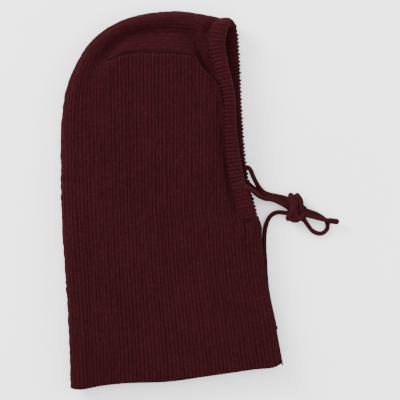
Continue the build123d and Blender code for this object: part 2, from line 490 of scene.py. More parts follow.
def grid_faces(rows: int, columns: int, wrap_rows: bool = False, wrap_columns: bool = False) -> np.ndarray:
    """Numbers the faces of a grid of corners.

    Args:
        rows: how many rows of corners there are.
        columns: how many corners a row has.
        wrap_rows: whether the last row joins the first.
        wrap_columns: whether the last corner of a row joins its first.

    Returns:
        Four corner numbers for each face.
    """
    i = np.arange(rows if wrap_rows else rows - 1)
    j = np.arange(columns if wrap_columns else columns - 1)
    a, b = np.meshgrid(i, j, indexing="ij")
    a2, b2 = (a + 1) % rows, (b + 1) % columns
    quads = np.stack([a * columns + b, a * columns + b2, a2 * columns + b2, a2 * columns + b], axis=-1)
    return quads.reshape(-1, 4)


def closed_cloth(name: str, outer: np.ndarray, inner: np.ndarray, uv: np.ndarray, flip: bool) -> bpy.types.Object:
    """Makes one closed piece of cloth from its two faces and joins them round the edge.

    Args:
        name: the piece's name.
        outer: the outer face's corners, rows by columns by three.
        inner: the inner face's corners, laid out in the same way.
        uv: the knit map, rows by columns by two.
        flip: whether the outer face's corners run clockwise.

    Returns:
        The object.
    """
    rows, columns, _ = outer.shape
    count = rows * columns
    front = grid_faces(rows, columns)
    back = front[:, ::-1] + count
    top = np.arange(columns)
    left = np.arange(rows) * columns
    loop = np.concatenate([top, left[1:] + columns - 1, (rows - 1) * columns + top[::-1][1:], left[::-1][1:-1]])
    after = np.roll(loop, -1)
    rim = np.stack([loop, loop + count, after + count, after], axis=-1)
    faces = np.concatenate([front, back, rim])
    if flip:
        faces = faces[:, ::-1]
    verts = np.concatenate([outer.reshape(-1, 3), inner.reshape(-1, 3)])
    uvs = np.concatenate([uv.reshape(-1, 2), uv.reshape(-1, 2)])
    return mesh_piece(name, verts, faces, uvs)


def ridge(phase: np.ndarray) -> np.ndarray:
    """The height of a knitted rib, from 0 in the groove to 1 on the crest, at a phase counted in ribs."""
    return np.abs(np.sin(np.pi * phase)) ** 0.62


def through(keys: Sequence[Sequence[float]], at: np.ndarray) -> np.ndarray:
    """Reads a smooth line through key rows.

    Args:
        keys: the rows that the line passes through.
        at: where to read, counted in keys from 0.

    Returns:
        One row for each reading.
    """
    rows = np.array(keys, float)
    last = len(rows) - 1
    at = np.clip(at, 0, last)
    i = np.minimum(at.astype(int), last - 1)
    f = (at - i)[:, None]
    p0, p1, p2, p3 = (rows[np.clip(i + k, 0, last)] for k in (-1, 0, 1, 2))
    return 0.5 * (
        2 * p1 + (p2 - p0) * f + (2 * p0 - 5 * p1 + 4 * p2 - p3) * f**2 + (3 * p1 - p0 - 3 * p2 + p3) * f**3
    )


class Lookup:
    """A smooth function of one number, given at a few places."""

    def __init__(self, keys: Sequence[Flat], soften: float = 0.0) -> None:
        """Tabulates the function.

        Args:
            keys: pairs of place and value, in rising order of place.
            soften: the width over which corners are rounded.
        """
        places = np.array([k[0] for k in keys], float)
        fine = np.linspace(0, len(keys) - 1, 80 * len(keys))
        table = through(keys, fine)
        self.x = np.linspace(places[0], places[-1], 2400)
        self.y = np.interp(self.x, table[:, 0], table[:, 1])
        if soften > 0:
            step = self.x[1] - self.x[0]
            half = max(1, int(soften / step))
            padded = np.pad(self.y, half, mode="edge")
            self.y = np.convolve(padded, np.ones(2 * half + 1) / (2 * half + 1), mode="valid")

    def __call__(self, at: np.ndarray) -> np.ndarray:
        """Reads the function at the given places."""
        return np.interp(at, self.x, self.y)


class Route:
    """A smooth line that a cord, a seam or the casing follows: a NURBS spline over its control points."""

    def __init__(self, points: Sequence[Point], steps: int = 14) -> None:
        """Reads the spline's own points.

        Args:
            points: the control points, in millimetres.
            steps: how finely Blender divides each span.
        """
        curve = bpy.data.curves.new("route", "CURVE")
        curve.dimensions = "3D"
        curve.resolution_u = steps
        spline = curve.splines.new("NURBS")
        spline.points.add(len(points) - 1)
        for place, point in zip(spline.points, points):
            place.co = (point[0] * MM, point[1] * MM, point[2] * MM, 1.0)
        spline.order_u = 3
        spline.use_endpoint_u = True
        holder = bpy.data.objects.new("route", curve)
        bpy.context.scene.collection.objects.link(holder)
        bpy.context.view_layer.update()
        line = bpy.data.meshes.new_from_object(holder.evaluated_get(bpy.context.evaluated_depsgraph_get()))
        places = np.array([v.co for v in line.vertices], float) / MM
        keep = np.ones(len(places), bool)
        keep[1:] = np.linalg.norm(np.diff(places, axis=0), axis=1) > 1e-4
        self.places = places[keep]
        bpy.data.objects.remove(holder)
        bpy.data.curves.remove(curve)
        bpy.data.meshes.remove(line)

    @property
    def length(self) -> float:
        """The line's length in millimetres."""
        return float(run_along(self.places)[-1])

    def even(self, spacing: float) -> np.ndarray:
        """Points along the line at an even spacing, in millimetres."""
        count = max(3, int(round(self.length / spacing)) + 1)
        return points_at(self.places, np.linspace(0, self.length, count))


def carried_frames(line: np.ndarray, closed: bool = False) -> tuple[np.ndarray, np.ndarray, np.ndarray]:
    """Carries a square frame along a line without twisting it.

    Args:
        line: the points of the line.
        closed: whether the line ends where it starts.

    Returns:
        The tangents and the two cross directions at each point.
    """
    if closed:
        tangents = np.roll(line, -1, axis=0) - np.roll(line, 1, axis=0)
    else:
        tangents = np.gradient(line, axis=0)
    tangents /= np.linalg.norm(tangents, axis=1)[:, None]
    first = np.cross(tangents[0], (0.0, 0.0, 1.0))
    if np.linalg.norm(first) < 0.2:
        first = np.cross(tangents[0], (0.0, 1.0, 0.0))
    sides = [first / np.linalg.norm(first)]
    for tangent in tangents[1:]:
        side = sides[-1] - tangent * float(np.dot(sides[-1], tangent))
        sides.append(side / np.linalg.norm(side))
    across = np.array(sides)
    return tangents, across, np.cross(across, tangents)


def tube(
    name: str,
    line: np.ndarray,
    radius: Callable[[np.ndarray, np.ndarray], np.ndarray],
    sides: int = 16,
    wales: float = 6.0,
    course: float = 1.8,
    closed: bool = False,
    rounded: bool = True,
) -> bpy.types.Object:
    """Makes a knitted tube along a line.

    Args:
        name: the piece's name.
        line: the points that it follows, in millimetres.
        radius: gives the radius from the run along the line and the angle round it.
        sides: how many corners each ring has.
        wales: how many columns of stitches go round it.
        course: the height of one stitch in millimetres.
        closed: whether the tube closes on itself.
        rounded: whether its ends are drawn in to a rounded tip.

    Returns:
        The object.
    """
    _, across, up = carried_frames(line, closed)
    run = run_along(line)
    angle = np.linspace(0, 2 * math.pi, sides, endpoint=False)
    s, a = np.meshgrid(run, angle, indexing="ij")
    r = radius(s, a)
    if rounded and not closed:
        tip = np.clip(np.minimum(s, run[-1] - s) / TIP_LENGTH, 0, 1)
        r = r * np.sqrt(np.clip(1 - (1 - tip) ** 2, 0.02, 1))
    rings = line[:, None] + r[..., None] * (
        np.cos(a)[..., None] * across[:, None] + np.sin(a)[..., None] * up[:, None]
    )
    rows = len(line)
    faces = grid_faces(rows, sides, wrap_rows=closed, wrap_columns=True)
    verts = rings.reshape(-1, 3)
    uv = np.stack([a / (2 * math.pi) * wales, s / course], axis=-1).reshape(-1, 2)
    if closed:
        return mesh_piece(name, verts, faces, uv)
    centres = np.array([line[0], line[-1]])
    verts = np.concatenate([verts, centres])
    uv = np.concatenate([uv, [[0.0, 0.0], [0.0, run[-1] / course]]])
    j = np.arange(sides)
    k = (j + 1) % sides
    start, end = rows * sides, rows * sides + 1
    base = (rows - 1) * sides
    caps = np.concatenate(
        [
            np.stack([j, np.full(sides, start), k], axis=-1),
            np.stack([base + k, np.full(sides, end), base + j], axis=-1),
        ]
    )
    triangles = np.concatenate([faces[:, [0, 1, 2]], faces[:, [0, 2, 3]], caps])
    return mesh_piece(name, verts, triangles, uv)


def cord_radius(diameter: float, wales: int = 6) -> Callable[[np.ndarray, np.ndarray], np.ndarray]:
    """The radius of a knitted cord whose columns of stitches stand a little proud.

    Args:
        diameter: the cord's diameter in millimetres.
        wales: how many columns of stitches go round it.

    Returns:
        A function of the run along the cord and the angle round it.
    """

    def radius(s: np.ndarray, a: np.ndarray) -> np.ndarray:
        """Reads the radius at each place."""
        lobes = ridge(a * wales / (2 * math.pi) + 0.04 * np.sin(s * 0.21))
        wander = 0.05 * np.sin(s * 0.83) + 0.04 * np.sin(s * 0.37 + 1.3)
        return diameter / 2 * (0.94 + 0.13 * lobes + wander * 0.5)

    return radius


def chain_radius(size: float, stitch: float) -> Callable[[np.ndarray, np.ndarray], np.ndarray]:
    """The radius of a chain of linked loops.

    Args:
        size: the chain's width in millimetres.
        stitch: the length of a loop in millimetres.

    Returns:
        A function of the run along the chain and the angle round it.
    """

    def radius(s: np.ndarray, a: np.ndarray) -> np.ndarray:
        """Reads the radius at each place."""
        return size / 2 * (0.62 + 0.38 * ridge(s / stitch) + 0.08 * np.cos(2 * a))

    return radius


def chain(
    name: str, line: np.ndarray, size: float, stitch: float, course: float, closed: bool = False
) -> bpy.types.Object:
    """Makes a chain of linked loops along a line.

    Args:
        name: the piece's name.
        line: the points that it follows, in millimetres.
        size: the chain's width in millimetres.
        stitch: the length of a loop in millimetres.
        course: the height of one stitch of its finish in millimetres.
        closed: whether the chain closes on itself.

    Returns:
        The object.
    """
    return tube(name, line, chain_radius(size, stitch), sides=10, wales=2, course=course, closed=closed)


def knitted_cord(name: str, points: Sequence[Point], spacing: float, diameter: float) -> bpy.types.Object:
    """Makes a knitted cord over its control points.

    Args:
        name: the piece's name.
        points: the control points of its route, in millimetres.
        spacing: the distance between its rings in millimetres.
        diameter: its diameter in millimetres.

    Returns:
        The object.
    """
    line = Route(points).even(spacing)
    return tube(name, line, cord_radius(diameter), sides=CORD_SIDES, wales=CORD_RIBS, course=CORD_COURSE)


# --------------------------------------------------------------------------- the hood's form


@dataclass
class HoodForm:
    """The lie of the hood: its outline, its thickness and the lines where its pieces meet.

    All sizes are in millimetres, in the CAD part's frame. The dip beside the casing is given by
    its depth, its distance from the casing and its spread.
    """

    thickness: float = 30.0
    top_slope: float = 0.0262
    mid_z: float = 15.5
    fold_top: float = 13.0
    fold_bottom: float = 15.0
    rib_height: float = 1.5
    wall: float = 2.7
    edge_inset: float = 1.0
    rest_z: float = -0.5
    dip: Point = (4.8, 4.5, 6.5)
    hem_keys: Sequence[Flat] = (
        (-125, -184), (-95, -188), (-70, -184), (-45, -181.5), (-5, -180), (35, -174.5), (80, -168), (100, -166),
        (108, -163), (125, -158),
    )
    back_keys: Sequence[Flat] = ((-215, -53.5), (-160, -54), (-120, -56), (-60, -59), (0, -61), (60, -62.5), (138, -64))
    front_keys: Sequence[Flat] = (
        (-215, 116), (-170, 111.6), (-150, 107.8), (-119, 102.6), (-93, 97), (-70, 93), (-45, 90), (-30, 88.9),
        (-24, 88.2), (-18, 86.6), (-12, 85.2), (0, 84.6), (60, 84.5), (200, 84.5),
    )
    cap_keys: Sequence[Flat] = (
        (-70, 136), (-64, 138.2), (-55, 142.2), (-44, 145.6), (-30, 146.8), (-15, 147), (0, 146.4), (12, 145.6),
        (19, 144.6), (24, 140), (30, 131), (36, 124), (44, 117.5), (51, 112),
    )
    near_front: Sequence[Flat] = (
        (51, 112), (54, 98), (55.6, 72), (58, 50), (61.4, 30), (64.6, 14), (68, 0), (71.5, -20),
    )
    chin_keys: Sequence[Flat] = ((71.5, -21.5), (74, -21), (80, -18.5), (85, -15.5), (130, -14))
    casing_edge: Sequence[Flat] = ((51, 112), (47.4, 128), (42, 144), (38.8, 157), (40, 168), (44, 176))

    def __post_init__(self) -> None:
        """Tabulates the lines."""
        self.hem = Lookup(self.hem_keys)
        self.back = Lookup(self.back_keys)
        self.front = Lookup(self.front_keys)
        xs, ys = np.array([*self.cap_keys, *self.near_front[1:], *self.chin_keys], float).T
        self.cap_x = xs + np.arange(len(xs)) * 1e-4
        self.cap_y = ys

    def cap(self, x: np.ndarray) -> np.ndarray:
        """How far up the side panels reach at each x: the crown seam, the casing, then the chin seam."""
        return np.interp(x, self.cap_x, self.cap_y)

    def top_z(self, y: np.ndarray) -> np.ndarray:
        """The height of the hood's upper face at each y."""
        return self.thickness + self.top_slope * y

    def lie(self, x: np.ndarray, y: np.ndarray) -> np.ndarray:
        """The soft rise and fall of the upper layer, in millimetres."""
        low = 0.55 * np.sin(x * 0.045 + y * 0.013 + 0.6) * np.sin(y * 0.031 + 1.0)
        low += 0.40 * np.sin(x * 0.021 - y * 0.027 + 2.0) + 0.25 * np.sin(x * 0.09 + 0.4) * np.sin(y * 0.05)
        sag = hump(y, -185, 26.0) * (1.2 * np.sin(x * 0.052 + 0.9) - 1.4 * np.cos(x * 0.0145))
        return low - 0.75 + sag

    def beside_casing(self, x: np.ndarray, y: np.ndarray) -> np.ndarray:
        """The dip of the upper layer along the casing, which runs on from the panel to the strip."""
        xs, ys = np.array([*self.near_front[::-1], *self.casing_edge[1:]], float).T
        depth, centre, spread = self.dip
        return -depth * hump(np.interp(y, ys, xs) - x, centre, spread) * np.clip((y + 24) / 14, 0, 1)

    def rise(self, y: np.ndarray, top: bool) -> np.ndarray:
        """How far a layer's flat stands from the fold's middle at each y."""
        return self.top_z(y) - self.rib_height - self.mid_z if top else self.mid_z - self.rib_height + 0.0 * y

    def arc(self, y: np.ndarray, top: bool, reach: np.ndarray) -> np.ndarray:
        """The length of cloth in the fold of one layer at each y, for a fold of that reach."""
        return math.pi / 2 * np.sqrt((reach**2 + self.rise(y, top) ** 2) / 2)

    def section(
        self, depth: np.ndarray, x: np.ndarray, y: np.ndarray, top: bool, reach: np.ndarray
    ) -> tuple[np.ndarray, np.ndarray, np.ndarray, np.ndarray]:
        """Follows the cloth from the fold at the edge on to the flat of a layer.

        Args:
            depth: the distance along the cloth from the fold's middle.
            x: the place that the layer's lie is read at.
            y: the same, across.
            top: whether this is the upper layer.
            reach: the distance from the edge at which the fold ends, in plan.

        Returns:
            The distance inwards in plan, the height, and the normal's outward and upward parts.
        """
        rise, arc = self.rise(y, top), self.arc(y, top, reach)
        theta = np.clip(depth / arc, 0, 1) * math.pi / 2
        plan = reach * (1 - np.cos(theta)) + np.clip(depth - arc, 0, None)
        out = np.cos(theta) / reach
        rise_part = np.sin(theta) / rise
        size = np.sqrt(out**2 + rise_part**2)
        sign = 1.0 if top else -1.0
        z = self.mid_z + sign * (rise * np.sin(theta))
        if top:
            z = z + self.lie(x, y) * np.sin(theta) ** 2
        return plan, z, out / size, sign * rise_part / size


def wander(rib: np.ndarray, run: np.ndarray, seed: float) -> np.ndarray:
    """How far a rib strays sideways along its run, in ribs.

    Args:
        rib: the rib's number.
        run: the distance along it.
        seed: shifts the pattern from piece to piece.

    Returns:
        The stray at each place.
    """
    slow = np.sin(rib * 1.7 + run * 0.021 + seed) + 0.7 * np.sin(rib * 0.9 - run * 0.034 + 2.1 * seed)
    quick = np.sin(rib * 2.9 + run * 0.11 + seed * 3.3)
    return 0.060 * slow + 0.045 * quick


def scatter(first: np.ndarray, second: np.ndarray) -> np.ndarray:
    """A fixed scatter of numbers from 0 to 1 over pairs of whole numbers."""
    value = np.sin(first * 12.9898 + second * 78.233) * 43758.5453
    return value - np.floor(value)


def swell(rib: np.ndarray, run: np.ndarray, seed: float) -> np.ndarray:
    """How high a rib stands along its run, about 1.

    Args:
        rib: the rib's number.
        run: the distance along it.
        seed: shifts the pattern from piece to piece.

    Returns:
        The share of the full height at each place.
    """
    number = np.floor(rib) + 100.0 * seed
    course = run / 2.8
    whole = np.floor(course)
    part = course - whole
    beads = scatter(number, whole) * (1 - part) + scatter(number, whole + 1) * part
    drift = 0.16 * np.sin(run * 0.045 + number * 1.9) + 0.12 * np.sin(run * 0.13 + number * 4.1)
    return 0.32 + 0.36 * scatter(number, 0.0) + 0.82 * beads + drift


# --------------------------------------------------------------------------- cloth pieces


@dataclass
class SidePanel:
    """A ribbed side of the hood, from the hem up to the crown seam and the face casing."""

    form: HoodForm
    side: Side
    ribs: int = 43
    samples: int = 6
    rows: int = 156
    flat_width: float = 0.166
    flat_length: float = 0.330
    tuck: float = 0.7

    @property
    def name(self) -> str:
        """The name of the CAD node that the panel stands for."""
        return f"side_panel_{self.side.value}"

    def plan_line(self, share: np.ndarray, y: np.ndarray) -> tuple[np.ndarray, ...]:
        """Places points across the panel.

        Args:
            share: how far across the cloth they are, from the back line to the front fold.
            y: their height along the hood.

        Returns:
            Their x and z, and the normal's x and z.
        """
        form, top = self.form, self.side.top
        reach = np.full_like(y, form.fold_top if top else form.fold_bottom)
        back, edge = form.back(y) - self.tuck, form.front(y) - form.edge_inset
        cloth = edge - back - reach + form.arc(y, top, reach)
        depth = (1 - share) * cloth
        plan, z, out, up = form.section(depth, edge - depth, y, top, reach)
        return edge - plan, z, out, up

    def heads(self, share: np.ndarray) -> np.ndarray:
        """Where each column of stitches ends at its top.

        Args:
            share: how far across the cloth the column is.

        Returns:
            The y of each column's head.
        """
        tops = np.empty_like(share)
        scan = np.linspace(-150, 150, 1201)
        for i, part in enumerate(share):
            x, _, _, _ = self.plan_line(np.full_like(scan, part), scan)
            past = scan >= self.form.cap(x)
            tops[i] = scan[int(np.argmax(past))] if past.any() else scan[-1]
        return tops

    def build(self, dye: Dye) -> bpy.types.Object:
        """Knits the panel.

        Args:
            dye: what dresses it.

        Returns:
            The panel.
        """
        form, top = self.form, self.side.top
        seed = 0.4 if top else 2.7
        share = np.linspace(0, 1, self.ribs * self.samples + 1)
        heads = self.heads(share)
        feet = np.empty_like(share)
        for i, part in enumerate(share):
            guess = np.array([-180.0])
            for _ in range(6):
                x, _, _, _ = self.plan_line(np.array([part]), guess)
                guess = form.hem(x)
            feet[i] = guess[0]
        t = np.linspace(0, 1, self.rows)
        tt, ss = np.meshgrid(t, share, indexing="ij")
        y = feet[None] + (heads - feet)[None] * tt
        phase = ss * self.ribs
        run = y + 200
        fade = np.sin(np.pi * ss) ** 0.3
        x, z, nx, nz = self.plan_line(np.clip(ss + wander(phase, run, seed) / self.ribs * fade, 0, 1), y)
        height = form.rib_height * ridge(phase) * swell(phase, run, seed)
        height *= 1 - 0.35 * hump(tt, 1, 0.008)
        height = height + self.seam_groove(x, y) if top else height
        inner_height = -form.wall - 0.45 * ridge(phase + 0.5)
        scallop = 0.9 * ridge(phase) * np.exp(-tt * 60)
        outer = np.stack([x + nx * height, y - scallop, z + nz * height], axis=-1)
        inner = np.stack([x + nx * inner_height, y, z + nz * inner_height], axis=-1)
        outer[..., 2] = np.maximum(outer[..., 2], form.rest_z)
        uv = np.stack([phase, run / COURSE], axis=-1)
        piece = closed_cloth(knitted_name(self.name), outer, inner, uv, flip=not top)
        dye.assign(piece, self.name, RIB_FINISH)
        return piece

    def seam_groove(self, x: np.ndarray, y: np.ndarray) -> np.ndarray:
        """The dip of the cloth beside the crown seam, the casing and the chin seam.

        Args:
            x: the places' x.
            y: the places' y.

        Returns:
            The change of height.
        """
        form = self.form
        crown = np.clip(form.cap(np.clip(x, -64, 51)) - y, 0, 60)
        crown_dip = -2.2 * hump(crown, 0, 1.5) * (x < 24)
        soft = np.clip((x - 8) / 30, 0, 1) * np.clip((y - 60) / 60, 0, 1)
        soft_dip = -0.9 * soft * hump(crown, 0, 14.0)
        chin = np.abs(y + 21 - np.clip((x - 72) * 0.4, 0, 8))
        chin_dip = -1.2 * hump(chin, 0, 3.0) * (x > 62)
        gather = 1.0 * np.sin((x - 66) * 0.62) * hump(y, -32, 13.0) * np.clip((x - 58) / 8, 0, 1)
        return crown_dip + soft_dip + form.beside_casing(x, y) + chin_dip + gather


@dataclass
class CrownStrip:
    """The ribbed strip that runs up the back of the hood and over its crown, folded along its middle."""

    form: HoodForm
    ribs: int = 15
    samples: int = 5
    rows: int = 300
    flat_width: float = 0.112
    flat_length: float = 0.610
    stations: Sequence[tuple[float, float, float, float, float, float, float]] = (
        (-100.8, -191, -53.5, -186, 0.0, 24, 10),
        (-103, -134, -55, -134, 0.0, 24, 10),
        (-106.6, -68, -58.6, -68, 0.0, 24, 10),
        (-110.2, -10, -60.6, -10, 0.0, 24, 10),
        (-111, 47, -62, 47, 0.0, 24, 10),
        (-109.5, 85, -63, 88, 0.0, 24, 10),
        (-105.0, 112, -63.5, 116, 0.8, 24, 10),
        (-98.4, 131, -63.9, 131, 2.6, 24, 9),
        (-87.2, 151.4, -63.7, 138, 5.2, 22.5, 8.5),
        (-73.4, 166.0, -60.5, 140, 7.2, 21.5, 8.5),
        (-56.6, 176.8, -54, 142.5, 8.6, 20.5, 8.5),
        (-36.8, 184.2, -43, 146, 9.4, 20, 8.5),
        (-14, 188.0, -19, 147, 10.2, 20.5, 8.5),
        (6.6, 189.0, 3, 146.4, 11.4, 22.5, 9.5),
        (27, 186.6, 19, 144.6, 12.6, 28, 11.5),
        (36, 184.9, 26.5, 136.5, 12.6, 39, 12),
        (43, 183.7, 34, 127.5, 10.0, 49, 10),
        (54, 180.6, 52, 111, 0.0, 50, 12),
    )

    def build(self, dye: Dye) -> bpy.types.Object:
        """Knits the strip.

        Args:
            dye: what dresses it.

        Returns:
            The strip.
        """
        form = self.form
        last = len(self.stations) - 1
        fine = np.linspace(0, last, 1500)
        keys = through(self.stations, fine)
        middle = 0.65 * keys[:, :2] + 0.35 * keys[:, 2:4]
        run = run_along(middle)
        at = np.interp(np.linspace(0, run[-1], self.rows), run, fine)
        length = np.interp(at, fine, run)
        keys = through(self.stations, at)
        edge, seam, valley = keys[:, :2], keys[:, 2:4].copy(), keys[:, 4:7]
        along_back = (seam[:, 1] < 137) & (seam[:, 0] < -50)
        seam[along_back, 0] = form.back(seam[along_back, 1])
        seam[~along_back, 1] = form.cap(seam[~along_back, 0])
        count = self.ribs * self.samples
        v = np.linspace(0, 2, 2 * count + 1)
        gap = seam - edge
        plan_width = np.linalg.norm(gap, axis=1)
        inward = gap / plan_width[:, None]
        edge = edge + inward * form.edge_inset * 0.8
        plan_width = plan_width - form.edge_inset * 0.8
        outer = np.empty((self.rows, len(v), 3))
        inner = np.empty_like(outer)
        for half in (True, False):
            columns = np.flatnonzero(v <= 1 if half else v > 1)
            w = v[columns] if half else 2 - v[columns]
            rib = w[None] * self.ribs + np.zeros((self.rows, 1))
            reach = np.full((self.rows, 1), form.fold_top if half else form.fold_bottom)
            y0 = edge[:, 1:2]
            cloth = form.arc(y0, half, reach) + plan_width[:, None] - reach
            seed = 1.1 if half else 4.2
            fade = np.sin(np.pi * np.clip(w, 0, 1))[None] ** 0.3
            shift = wander(rib, length[:, None], seed) / self.ribs * fade
            depth = (1 - np.clip(w[None] + shift, 0, 1)) * cloth
            guess_x = edge[:, 0:1] + inward[:, 0:1] * depth
            guess_y = edge[:, 1:2] + inward[:, 1:2] * depth
            plan, z, out, up = form.section(depth, guess_x, guess_y, half, reach)
            calm = 1 - 0.45 * np.clip(valley[:, 0:1] / 3.0, 0, 1)
            height = form.rib_height * ridge(rib) * swell(rib, length[:, None], seed) * calm
            place_x = edge[:, 0:1] + inward[:, 0:1] * plan
            place_y = edge[:, 1:2] + inward[:, 1:2] * plan
            if half:
                z = z + self.roll(plan, plan_width[:, None], valley)
                z = z + form.beside_casing(place_x, place_y) * np.clip(plan / 12.0, 0, 1)
                from_seam = plan_width[:, None] - plan
                stitched = (~along_back)[:, None] * (seam[:, 0:1] < 24)
                height = height - 2.2 * hump(from_seam, 0, 1.5) * stitched
            deep = -form.wall - 0.45 * ridge(rib + 0.5)
            for grid, lift in ((outer, height), (inner, deep)):
                grid[:, columns, 0] = place_x - inward[:, 0:1] * out * lift
                grid[:, columns, 1] = place_y - inward[:, 1:2] * out * lift
                grid[:, columns, 2] = z + up * lift
        drop = form.hem(outer[0, :, 0]) - outer[0, :, 1]
        for grid in (outer, inner):
            grid[..., 1] += drop[None] * hump(length, 0, 16.0)[:, None]
        scallop = 0.9 * ridge(v * self.ribs)[None] * np.exp(-length / 5)[:, None]
        outer[..., 1] -= scallop
        outer[..., 2] = np.maximum(outer[..., 2], form.rest_z)
        uv = np.stack(np.meshgrid(length / COURSE, v * self.ribs, indexing="ij")[::-1], axis=-1)
        piece = closed_cloth(knitted_name("crown_back_panel"), outer, inner, uv, flip=False)
        dye.assign(piece, "crown_back_panel", RIB_FINISH)
        return piece

    @staticmethod
    def roll(plan: np.ndarray, width: np.ndarray, valley: np.ndarray) -> np.ndarray:
        """The hollow that runs along the crown inside its rolled edge.

        Args:
            plan: the distance from the edge.
            width: the strip's width at each station.
            valley: the hollow's depth, its distance from the edge and its spread at each station.

        Returns:
            The change of height.
        """
        depth, centre, spread = valley[:, 0:1], valley[:, 1:2], valley[:, 2:3]
        hollow = -depth * hump(plan, centre, spread)
        border = np.clip((width - plan) / 4.0, 0, 1)
        return hollow * np.clip(plan / 9.0, 0, 1) ** 1.5 * border * border * (3 - 2 * border)


@dataclass
class FaceCasing:
    """The folded ribbed casing round the face opening, which the drawcord runs through."""

    form: HoodForm
    rib_pitch: float = 3.8
    samples: int = 6
    around: int = 26
    wall: float = 1.7
    rib_height: float = 1.6
    ribs_round: int = 16
    near: Sequence[tuple[float, float, float]] = (
        (77.4, -20.6, 19.0), (74.4, -10, 18.6), (70.6, 2, 16.4), (67.0, 14, 14.8), (63.9, 30, 14.0), (60.8, 50, 13.2),
        (58.9, 72, 12.2), (58.5, 96, 11.8), (56.3, 112, 12.4), (51.6, 128, 13.6), (47.2, 144, 15.6), (44.8, 157, 17.2),
        (46.6, 168, 18.0),
    )
    turn: Sequence[tuple[float, float, float, float]] = (
        (49.0, 175.0, 27.0, 18.2), (51.6, 177.6, 20.5, 17.2), (54.6, 175.6, 13.5, 16.2), (57.4, 170.5, 9.0, 15.0),
    )
    far: Sequence[tuple[float, float, float]] = (
        (58.0, 163, 16.0), (58.7, 150, 16.4), (59.5, 130, 17.0), (61.1, 100, 16.2), (62.4, 72, 16.8), (64.5, 48, 16.0),
        (67.0, 32, 15.0), (70.4, 11, 15.2), (74.6, -6, 16.6), (77.8, -21, 17.6),
    )
    near_sink: float = 2.6
    far_z: float = 4.9
    far_rise: float = 2.0
    flat_width: float = 0.036
    flat_length: float = 0.445

    def route(self) -> tuple[list[Point], list[float]]:
        """The casing's middle line and its widths.

        Returns:
            The control points and the width at each of them.
        """
        form = self.form
        points: list[Point] = []
        for x, y, _ in self.near:
            sink = float(np.interp(y, (-20.6, -10.0, 4.0), (5.5, 1.4, 0.0)))
            points.append((x, y, float(form.top_z(np.array(y))) - self.near_sink - sink))
        points += [(x, y, z) for x, y, z, _ in self.turn]
        for x, y, _ in self.far:
            points.append((x, y, self.far_z + self.far_rise * float(np.clip((y + 5) / 60.0, 0, 1))))
        return points, [row[-1] for row in (*self.near, *self.turn, *self.far)]

    def build(self, dye: Dye) -> bpy.types.Object:
        """Knits the casing.

        Args:
            dye: what dresses it.

        Returns:
            The casing.
        """
        points, widths = self.route()
        route = Route(points)
        ribs = int(round(route.length / self.rib_pitch))
        line = route.even(route.length / (ribs * self.samples))
        rows = len(line)
        tangent = np.gradient(line, axis=0)
        tangent /= np.linalg.norm(tangent, axis=1)[:, None]
        side = np.array([1.0, 0.0, 0.0]) - tangent * tangent[:, 0:1]
        side /= np.linalg.norm(side, axis=1)[:, None]
        outward = np.cross(side, tangent)
        share = np.linspace(0, 1, rows)
        chord = run_along(np.array(points))
        width = np.interp(share, chord / chord[-1], widths)
        angle = np.linspace(0, 2 * math.pi, self.around, endpoint=False)
        u, a = np.meshgrid(np.linspace(0, ribs, rows), angle, indexing="ij")
        number = np.floor(u)
        half_w = width[:, None] / 2 - 0.9
        half_t = 4.3 + 0.25 * np.sin(u * 0.21 + 0.5) + 0.2 * np.sin(number * 2.1)
        cos, sin = np.cos(a), np.sin(a)
        flat = np.sign(cos) * np.abs(cos) ** 0.8 * half_w
        deep = np.sign(sin) * np.abs(sin) ** 0.8 * half_t
        nw, nt = cos / half_w, sin / half_t
        size = np.sqrt(nw**2 + nt**2)
        nw, nt = nw / size, nt / size
        facing = np.interp(share, (0.42, 0.54), (1.0, -1.0))[:, None]
        outer_side = 0.5 - 0.5 * cos * facing
        strength = 0.15 + 1.20 * outer_side
        strength *= 1 - 0.75 * hump(share[:, None], 0.475, 0.028)
        strength *= 1 - 0.75 * hump(share[:, None], 0, 0.06)
        strength *= 0.9 + 0.2 * np.sin(number * 3.7)
        outer, inner = (
            line[:, None]
            + (flat + nw * amount)[..., None] * side[:, None]
            + (deep + nt * amount)[..., None] * outward[:, None]
            for amount in (self.rib_height * ridge(u) * strength, -self.wall + 0.0 * u)
        )
        count = rows * self.around
        front = grid_faces(rows, self.around, wrap_columns=True)
        back = front[:, ::-1] + count
        j = np.arange(self.around)
        k = (j + 1) % self.around
        base = (rows - 1) * self.around
        mouth = np.stack([j, j + count, k + count, k], axis=-1)
        faces = np.concatenate([front, back, mouth, (mouth + base)[:, ::-1]])
        verts = np.concatenate([outer.reshape(-1, 3), inner.reshape(-1, 3)])
        uv = np.stack([u, a / (2 * math.pi) * self.ribs_round], axis=-1).reshape(-1, 2)
        piece = mesh_piece(knitted_name("face_casing"), verts, faces, np.concatenate([uv, uv]))
        dye.assign(piece, "face_casing", CASING_FINISH)
        return piece


# --------------------------------------------------------------------------- seams


@dataclass
class LinkedSeam:
    """A chain of linked loops that joins two pieces of knitting."""

    node: str
    points: Sequence[Point]
    size: float = 1.5
    stitch: float = 3.7
    spacing: float = 0.62

    def build(self, dye: Dye) -> bpy.types.Object:
        """Makes the chain.

        Args:
            dye: what dresses it.

        Returns:
            The chain.
        """
        route = Route(self.points)
        piece = chain(knitted_name(self.node), route.even(self.spacing), self.size, self.stitch, self.stitch)
        # The seam chain takes the darker linking finish, which is painted shade.
        dye.assign(piece, self.node, LINKING_PAINTED_SHADE_FINISH)
        return piece


